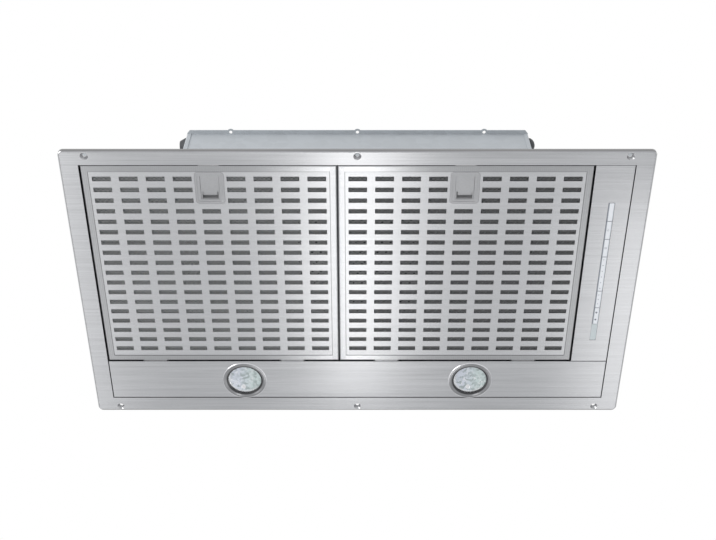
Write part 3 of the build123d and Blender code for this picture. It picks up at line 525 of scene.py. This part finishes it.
# For each slot: its kind of finish, its colour and that kind's further values in their order
finishes = {
    "stainless": (brushed_steel, (0.60, 0.60, 0.607), 0.11, 0.22),
    "filter_stainless": (filter_steel, (0.66, 0.66, 0.665)),
    "latch_metal": (satin_steel, (0.48, 0.48, 0.485)),
    "grease_mesh": (expanded_metal, (0.46, 0.465, 0.465)),
    "galvanised": (galvanised, (0.49, 0.515, 0.535)),
    "zinc_screws": (plated, (0.55, 0.55, 0.54), 0.32),
    "key_white": (key_plastic, (0.95, 0.97, 1.0)),
    "dark_plastic": (moulded, (0.018, 0.018, 0.02), 0.5),
    "circuit_board": (solder_mask, (0.012, 0.09, 0.035)),
    "rubber_grey": (moulded, (0.055, 0.058, 0.062), 0.62, 600),
    "rubber_black": (moulded, (0.012, 0.012, 0.012), 0.7, 600),
    "fan_plastic": (moulded, (0.05, 0.052, 0.055), 0.48),
    "flap_plastic": (moulded, (0.10, 0.104, 0.108), 0.45),
    "wheel_plastic": (moulded, (0.02, 0.02, 0.021), 0.4),
    "motor_paint": (moulded, (0.27, 0.28, 0.29), 0.42, 400, 0.15),
    "bronze": (plated, (0.46, 0.31, 0.13), 0.35),
    "shaft_steel": (plated, (0.55, 0.55, 0.55), 0.2),
    "capacitor_shell": (moulded, (0.60, 0.60, 0.58), 0.3, 1200, 0.2),
    "bezel_chrome": (bezel_ring, (0.34, 0.34, 0.345)),
    "lamp_glass": (lamp_glass, (0.72, 0.82, 0.80)),
    "reflector": (mirror_facets, (0.93, 0.95, 0.97)),
    "bulb_glass": (bulb_glass, (0.95, 0.96, 0.95)),
    "key_ink": (ink, (0.16, 0.18, 0.22)),
}
materials = {name: make(Finish(name), *values) for name, (make, *values) in finishes.items()}

for subpart in frame["record"]["subparts"]:
    node = frame["nodes"][subpart["node"]]
    node.data.materials.clear()
    node.data.materials.append(materials[subpart["material_slot"]])


# ---------------------------------------------------------------- pieces grown by rules
class Pattern(Graph):
    """A Geometry Nodes tree with named sizes, which ends in real mesh with its material."""

    def __init__(self, name, sizes):
        group = bpy.data.node_groups.new(name, "GeometryNodeTree")
        group.is_modifier = True
        super().__init__(group)
        self.sizes = sizes
        self.identifiers = {}
        group.interface.new_socket(name="Places", in_out="INPUT",
                                   socket_type="NodeSocketGeometry")
        for label, value in sizes.items():
            kind = "NodeSocketInt" if isinstance(value, int) else "NodeSocketFloat"
            made = group.interface.new_socket(name=label, in_out="INPUT", socket_type=kind)
            self.identifiers[label] = made.identifier
        group.interface.new_socket(name="Geometry", in_out="OUTPUT",
                                   socket_type="NodeSocketGeometry")
        self.entry = self.node("NodeGroupInput")

    def size(self, label):
        return Number(self, self.entry.outputs[label])

    def index(self):
        return Number(self, self.node("GeometryNodeInputIndex").outputs[0])

    def position(self):
        made = self.node("GeometryNodeInputPosition")
        parts = self.node("ShaderNodeSeparateXYZ", {}, {0: made.outputs[0]})
        return [Number(self, part) for part in parts.outputs]

    def vector(self, x=0.0, y=0.0, z=0.0):
        return self.node("ShaderNodeCombineXYZ", {}, {0: x, 1: y, 2: z}).outputs[0]

    def join(self, pieces):
        """One geometry of several nodes' first outputs."""
        made = self.node("GeometryNodeJoinGeometry")
        for piece in pieces:
            self.tree.links.new(piece.outputs[0], made.inputs[0])
        return made

    def copies(self, places, piece, sockets=None):
        """A piece at each of some points."""
        return self.node("GeometryNodeInstanceOnPoints", {},
                         {"Points": places.outputs[0], "Instance": piece.outputs[0],
                          **(sockets or {})})

    def grow(self, name, geometry, material, places=None):
        """The pattern as a plain mesh object at the origin."""
        real = self.node("GeometryNodeRealizeInstances", {}, {0: geometry})
        dressed = self.node("GeometryNodeSetMaterial", {},
                            {"Geometry": real.outputs[0], "Material": material})
        self.node("NodeGroupOutput", {}, {0: dressed.outputs[0]})
        carrier = bpy.data.objects.new(name, places or bpy.data.meshes.new(name))
        bpy.context.collection.objects.link(carrier)
        modifier = carrier.modifiers.new("pattern", "NODES")
        modifier.node_group = self.tree
        for label, value in self.sizes.items():
            modifier[self.identifiers[label]] = value
        depsgraph = bpy.context.evaluated_depsgraph_get()
        mesh = bpy.data.meshes.new_from_object(carrier.evaluated_get(depsgraph))
        carrier.modifiers.clear()
        carrier.data = mesh
        mesh.name = name
        return carrier


def mesh_object(name, verts, faces, material):
    """A flat-shaded piece from corners and faces, with its normals turned outwards."""
    mesh = bpy.data.meshes.new(name)
    mesh.from_pydata(verts, [], faces)
    tidy = bmesh.new()
    tidy.from_mesh(mesh)
    bmesh.ops.remove_doubles(tidy, verts=tidy.verts, dist=1e-7)
    bmesh.ops.recalc_face_normals(tidy, faces=tidy.faces)
    tidy.to_mesh(mesh)
    tidy.free()
    for face in mesh.polygons:
        face.use_smooth = False
    mesh.materials.append(material)
    made = bpy.data.objects.new(name, mesh)
    bpy.context.collection.objects.link(made)
    return made


def strand_layers(pattern, label, layers, phase_shift):
    """Layers of zigzag strands that meet in diamonds, from the named pitch of the pattern."""
    pitch = pattern.size(label + " pitch")
    columns = pattern.size(label + " columns")
    strands = []
    for phase in (0, 1):
        row = pattern.node("GeometryNodeMeshLine", {"mode": "OFFSET"}, {
            "Count": columns + 1,
            "Offset": pattern.vector(pattern.size("Width") / columns),
        })
        swing = ((pattern.index() + phase) % 2 - 0.5) * pitch * zigzag_share
        zigzag = pattern.node("GeometryNodeSetPosition", {},
                              {"Geometry": row.outputs[0],
                               "Offset": pattern.vector(0.0, swing + pitch * phase)})
        strands.append(pattern.node("GeometryNodeMeshToCurve", {}, {0: zigzag.outputs[0]}))
    profile = pattern.node("GeometryNodeCurvePrimitiveCircle", {"mode": "RADIUS"},
                           {"Resolution": 3, "Radius": pattern.size(label + " radius")})
    upright = pattern.node("GeometryNodeSetCurveNormal", {"mode": "Z_UP"},
                           {0: pattern.join(strands).outputs[0]})
    ribbon = pattern.node("GeometryNodeCurveToMesh", {},
                          {"Curve": upright.outputs[0], "Profile Curve": profile.outputs[0],
                           "Fill Caps": True})
    rows = pattern.node("GeometryNodeMeshLine", {"mode": "OFFSET"}, {
        "Count": pattern.size(label + " row pairs"),
        "Start Location": pattern.vector(0.0, pitch * 0.5),
        "Offset": pattern.vector(0.0, pitch * 2),
    })
    layer = pattern.copies(rows, ribbon)
    levels = pattern.node("GeometryNodeMeshLine", {"mode": "OFFSET"}, {
        "Count": layers,
        "Start Location": pattern.vector(pattern.size("Left"), pattern.size("Front"),
                                         pattern.size(label + " level")),
        "Offset": pattern.vector(0.0, 0.0, pattern.size("Layer gap")),
    })
    slip = pattern.vector((pattern.index() + phase_shift) % 2 * layer_slip_x,
                          (pattern.index() + phase_shift) % 3 * layer_slip_y)
    levels = pattern.node("GeometryNodeSetPosition", {},
                          {"Geometry": levels.outputs[0], "Offset": slip})
    return pattern.copies(levels, layer)


def expanded_mesh(name, body, pack_node):
    """Expanded aluminium of a filter: a fine layer behind the slots and coarse ones above it."""
    low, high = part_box(pack_node)
    width = high.x - low.x
    depth = high.y - low.y
    height = high.z - low.z
    sizes = {"Left": low.x, "Front": low.y, "Width": width,
             "Layer gap": height * layer_gap_share}
    for label, pitch, half_length, level in (
            ("Fine", fine_pitch, fine_half_length, low.z + strand_depth),
            ("Coarse", coarse_pitch, coarse_half_length, low.z + height * coarse_level_share)):
        row_pairs = int(depth / pitch / 2)
        sizes[label + " pitch"] = depth / (row_pairs * 2 + 1)
        sizes[label + " radius"] = pitch * strand_radius_share
        sizes[label + " level"] = level
        sizes[label + " columns"] = int(width / half_length)
        sizes[label + " row pairs"] = row_pairs
    pattern = Pattern(name, sizes)
    both = pattern.join([strand_layers(pattern, "Fine", 1, 0),
                         strand_layers(pattern, "Coarse", coarse_layers, 1)])
    real = pattern.node("GeometryNodeRealizeInstances", {}, {0: both.outputs[0]})
    x, y, _ = pattern.position()
    beside_middle = abs(x - (low.x + high.x) / 2)
    behind_latch = (beside_middle < latch_half_width) * (y < low.y + latch_clearance)
    outside = (x > high.x) + (y > high.y) + behind_latch
    cut = pattern.node("GeometryNodeDeleteGeometry", {"domain": "POINT"},
                       {"Geometry": real.outputs[0], "Selection": outside > 0.5})
    made = pattern.grow(name, cut.outputs[0], materials["grease_mesh"])
    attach(made, body)
    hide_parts(pack_node)


for side in ("left", "right"):
    expanded_mesh(f"filter_{side}_strands", f"filter_{side}", f"filter_{side}_mesh")


# ---------------------------------------------------------------- lamps
def faceted_reflector(name, node):
    """Bowl of flat facets, staggered ring by ring, with a plain outside."""
    low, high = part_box(node)
    middle = (low + high) / 2
    profile = mirror_profile + shell_profile
    verts = []
    for ring, (radius, height) in enumerate(profile):
        stagger = 0.5 * (ring % 2) if ring < len(mirror_profile) else 0.0
        for sector in range(facet_sectors):
            angle = 2 * pi * (sector + stagger) / facet_sectors
            verts.append((middle.x + radius * cos(angle), middle.y + radius * sin(angle),
                          low.z + height))
    faces = []
    for ring in range(len(profile)):
        above = (ring + 1) % len(profile)
        for sector in range(facet_sectors):
            beside = (sector + 1) % facet_sectors
            a, b = ring * facet_sectors + sector, ring * facet_sectors + beside
            d, c = above * facet_sectors + sector, above * facet_sectors + beside
            faces += [(a, b, c), (a, c, d)] if ring % 2 else [(a, b, d), (b, c, d)]
    made = mesh_object(name, verts, faces, materials["reflector"])
    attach(made, "root")
    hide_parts(node)


for side in ("left", "right"):
    faceted_reflector(f"lamp_{side}_facets", f"lamp_{side}_reflector")


# ---------------------------------------------------------------- printed marks of the keys
def slab(verts, faces, outline, z_low, z_high):
    """Adds a flat closed print with the given outline to the lists."""
    start = len(verts)
    count = len(outline)
    verts += [(x, y, z_low) for x, y in outline] + [(x, y, z_high) for x, y in outline]
    faces.append(tuple(start + i for i in range(count)))
    faces.append(tuple(start + count + i for i in reversed(range(count))))
    for i in range(count):
        j = (i + 1) % count
        faces.append((start + i, start + j, start + count + j, start + count + i))


def bar(x, y, width, depth):
    return [(x - width / 2, y - depth / 2), (x + width / 2, y - depth / 2),
            (x + width / 2, y + depth / 2), (x - width / 2, y + depth / 2)]


def disc(x, y, radius, sides=20):
    return [(x + radius * cos(2 * pi * i / sides), y + radius * sin(2 * pi * i / sides))
            for i in range(sides)]


def arc_band(x, y, radius, width, start, stop, steps=16):
    """Outline of a part ring, with its angles in degrees."""
    angles = [radians(start + (stop - start) * i / steps) for i in range(steps + 1)]
    outer, inner = [[(x + edge * cos(angle), y + edge * sin(angle)) for angle in angles]
                    for edge in (radius + width / 2, radius - width / 2)]
    return outer + inner[::-1]


def key_marks(name, body, outlines):
    verts = []
    faces = []
    for outline in outlines:
        slab(verts, faces, outline, key_face - print_depth, key_face + print_rise)
    made = mesh_object(name, verts, faces, materials["key_ink"])
    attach(made, body)


light_y = unit_front(1.5)
power_y = unit_front(2.5)
run_y = unit_front(5.5)
check_y = unit_front(6.5)
level_marks = [bar(key_middle_x, unit_front(3 + (i + 0.5) / 3),
                   width=0.0009 + 0.0003 * (i % 2), depth=0.0009) for i in range(6)]
key_marks("key_light_mark", "key_light", [
    arc_band(key_middle_x, light_y, radius=0.0011, width=print_line, start=-40, stop=220),
    bar(key_middle_x, light_y - 0.0016, width=0.0010, depth=0.0004),
])
key_marks("key_power_mark", "key_power", [
    arc_band(key_middle_x, power_y, radius=0.0013, width=print_line, start=-235, stop=55),
    bar(key_middle_x, power_y + 0.0009, width=print_line, depth=0.0015),
])
key_marks("key_fan_level_marks", "key_fan_level", level_marks)
key_marks("key_run_on_marks", "key_run_on", [
    bar(key_middle_x, run_y + (i - 1) * 0.0068, width=0.0011, depth=0.0008) for i in range(3)
])
key_marks("key_filter_check_marks", "key_filter_check", [
    disc(key_middle_x, check_y - 0.0052, radius=0.00125),
    disc(key_middle_x, check_y + 0.0058, radius=0.0012),
])


# ---------------------------------------------------------------- screws
def loose_parts(node):
    """The corners of each separate solid of a CAD node."""
    copy = bmesh.new()
    copy.from_mesh(frame["nodes"][node].data)
    bmesh.ops.remove_doubles(copy, verts=copy.verts, dist=1e-6)
    seen = set()
    parts = []
    for first in copy.verts:
        if first.index in seen:
            continue
        stack = [first]
        seen.add(first.index)
        part = []
        while stack:
            vert = stack.pop()
            part.append(vert.co.copy())
            for edge in vert.link_edges:
                other = edge.other_vert(vert)
                if other.index not in seen:
                    seen.add(other.index)
                    stack.append(other)
        parts.append(part)
    copy.free()
    return parts


def screw_place(part):
    """Top of a screw's head, the way it faces, its head's radius and its length."""
    low = Vector([min(co[i] for co in part) for i in range(3)])
    high = Vector([max(co[i] for co in part) for i in range(3)])
    top = (low + high) / 2
    lean = sum(part, Vector()) / len(part) - top
    axis = max(range(3), key=lambda i: abs(lean[i]))
    facing = Vector()
    facing[axis] = 1 if lean[axis] > 0 else -1
    top[axis] = high[axis] if lean[axis] > 0 else low[axis]
    beside = (axis + 1) % 3
    return top, facing, (high[beside] - low[beside]) / 2, high[axis] - low[axis]


def screws(name, node, body):
    """Pan-head screws with a cross recess, one at each screw of the node."""
    places = [screw_place(part) for part in loose_parts(node)]
    points = bpy.data.meshes.new(name)
    points.from_pydata([top for top, _, _, _ in places], [], [])
    outward = points.attributes.new("outward", "FLOAT_VECTOR", "POINT")
    outward.data.foreach_set("vector", [part for _, facing, _, _ in places for part in facing])
    _, _, radius, length = places[0]
    pattern = Pattern(name, {"Head radius": radius,
                             "Head height": radius * head_height_share,
                             "Length": length,
                             "Recess length": radius * recess_length_share,
                             "Recess width": radius * recess_width_share})
    head_radius = pattern.size("Head radius")
    head_height = pattern.size("Head height")
    shank_length = pattern.size("Length") - head_height
    skirt = pattern.node("GeometryNodeMeshCone", {}, {
        "Vertices": 20, "Radius Top": head_radius * head_top_share,
        "Radius Bottom": head_radius, "Depth": head_height})
    head = pattern.node("GeometryNodeTransform", {}, {
        "Geometry": skirt.outputs[0], "Translation": pattern.vector(0.0, 0.0, head_height * -1)})
    arms = [pattern.size("Recess length"), pattern.size("Recess width")]
    recessed = pattern.node("GeometryNodeMeshBoolean", {"operation": "DIFFERENCE"},
                            {"Mesh 1": head.outputs[0]})
    for wide, deep in (arms, arms[::-1]):
        arm = pattern.node("GeometryNodeMeshCube", {},
                           {"Size": pattern.vector(wide, deep,
                                                   head_height * recess_depth_share)})
        pattern.tree.links.new(arm.outputs[0], recessed.inputs["Mesh 2"])
    rod = pattern.node("GeometryNodeMeshCylinder", {}, {
        "Vertices": 12, "Radius": head_radius * shank_radius_share, "Depth": shank_length})
    shank = pattern.node("GeometryNodeTransform", {}, {
        "Geometry": rod.outputs[0],
        "Translation": pattern.vector(0.0, 0.0, shank_length * -0.5 - head_height)})
    facing = pattern.node("GeometryNodeInputNamedAttribute", {"data_type": "FLOAT_VECTOR"},
                          {"Name": "outward"})
    turn = pattern.node("FunctionNodeAlignRotationToVector", {"axis": "Z"},
                        {"Vector": facing.outputs[0]})
    placed = pattern.copies(pattern.entry, pattern.join([recessed, shank]),
                            {"Rotation": turn.outputs[0]})
    made = pattern.grow(name, placed.outputs[0], materials["zinc_screws"], points)
    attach(made, body)
    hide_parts(node)


screws("screw_heads", "pan_head_screws", "root")


# ---------------------------------------------------------------- floor, light and camera
def floor_paint(finish, colour):
    """Plain pale floor, a little cloudy."""
    cloud = finish.noise((0.6, 0.6, 0.6), 2.0)
    shade = finish.blend(cloud, colour, tinted(colour, 0.98))
    return finish.surface({"Base Color": shade, "Roughness": 0.9})


floor_level = -1.9
floor_half = 8.0
floor_corners = [(x, y, floor_level) for x, y in bar(0.0, 0.0, 2 * floor_half, 2 * floor_half)]
floor = mesh_object("floor", floor_corners, [(0, 1, 2, 3)],
                    floor_paint(Finish("floor_paint"), (0.72, 0.72, 0.72)))

world = bpy.data.worlds.new("studio")
bpy.context.scene.world = world
world.use_nodes = True
air = Graph(world.node_tree)
path = air.node("ShaderNodeLightPath")
seen_ray = Number(air, path.outputs["Is Camera Ray"])
for ray in ("Is Glossy Ray", "Is Transmission Ray"):
    seen_ray = seen_ray.most(path.outputs[ray])
room = air.node("ShaderNodeBackground", {}, {"Color": (0.95, 0.97, 1.0, 1), "Strength": 0.85})
backdrop = air.node("ShaderNodeBackground", {}, {"Color": (1, 1, 1, 1), "Strength": 1.0})
sky = air.node("ShaderNodeMixShader", {},
               {0: seen_ray, 1: room.outputs[0], 2: backdrop.outputs[0]})
air.node("ShaderNodeOutputWorld", {}, {0: sky.outputs[0]})


def soft_lamp(name, place, aim, width, depth, power):
    """Rectangular lamp that faces a point, unseen by the camera."""
    lamp = bpy.data.lights.new(name, "AREA")
    lamp.shape = "RECTANGLE"
    lamp.size = width
    lamp.size_y = depth
    lamp.energy = power
    made = bpy.data.objects.new(name, lamp)
    bpy.context.collection.objects.link(made)
    made.location = place
    made.rotation_euler = (Vector(aim) - Vector(place)).to_track_quat("-Z", "Y").to_euler()
    made.visible_camera = False


def floor_lamp(name, x, y, width, depth, power):
    """Lamp just over the floor that shines straight up, and shows as a glow in the steel."""
    soft_lamp(name, (x, y, -1.85), (x, y, 0), width, depth, power)


floor_lamp("band_lamp", -0.01, 0.97, width=0.20, depth=1.36, power=1.6)
floor_lamp("right_lamp", 0.92, 1.40, width=0.30, depth=1.0, power=1.0)
floor_lamp("left_lamp", -1.03, 1.22, width=0.3, depth=2.0, power=1.35)
soft_lamp("fill_lamp", (-2.0, -1.0, -0.6), (0, 0, 0), width=1.6, depth=1.6, power=28.0)

camera = bpy.data.cameras.new("photo_camera")
camera.lens = 56.43
camera.sensor_width = 36.0
camera_object = bpy.data.objects.new("photo_camera", camera)
bpy.context.collection.objects.link(camera_object)
camera_object.location = (0.0008, -0.797, -1.1756)
camera_object.rotation_euler = (radians(146.8), 0, 0)
bpy.context.scene.camera = camera_object
bpy.context.scene.view_settings.view_transform = "Standard"
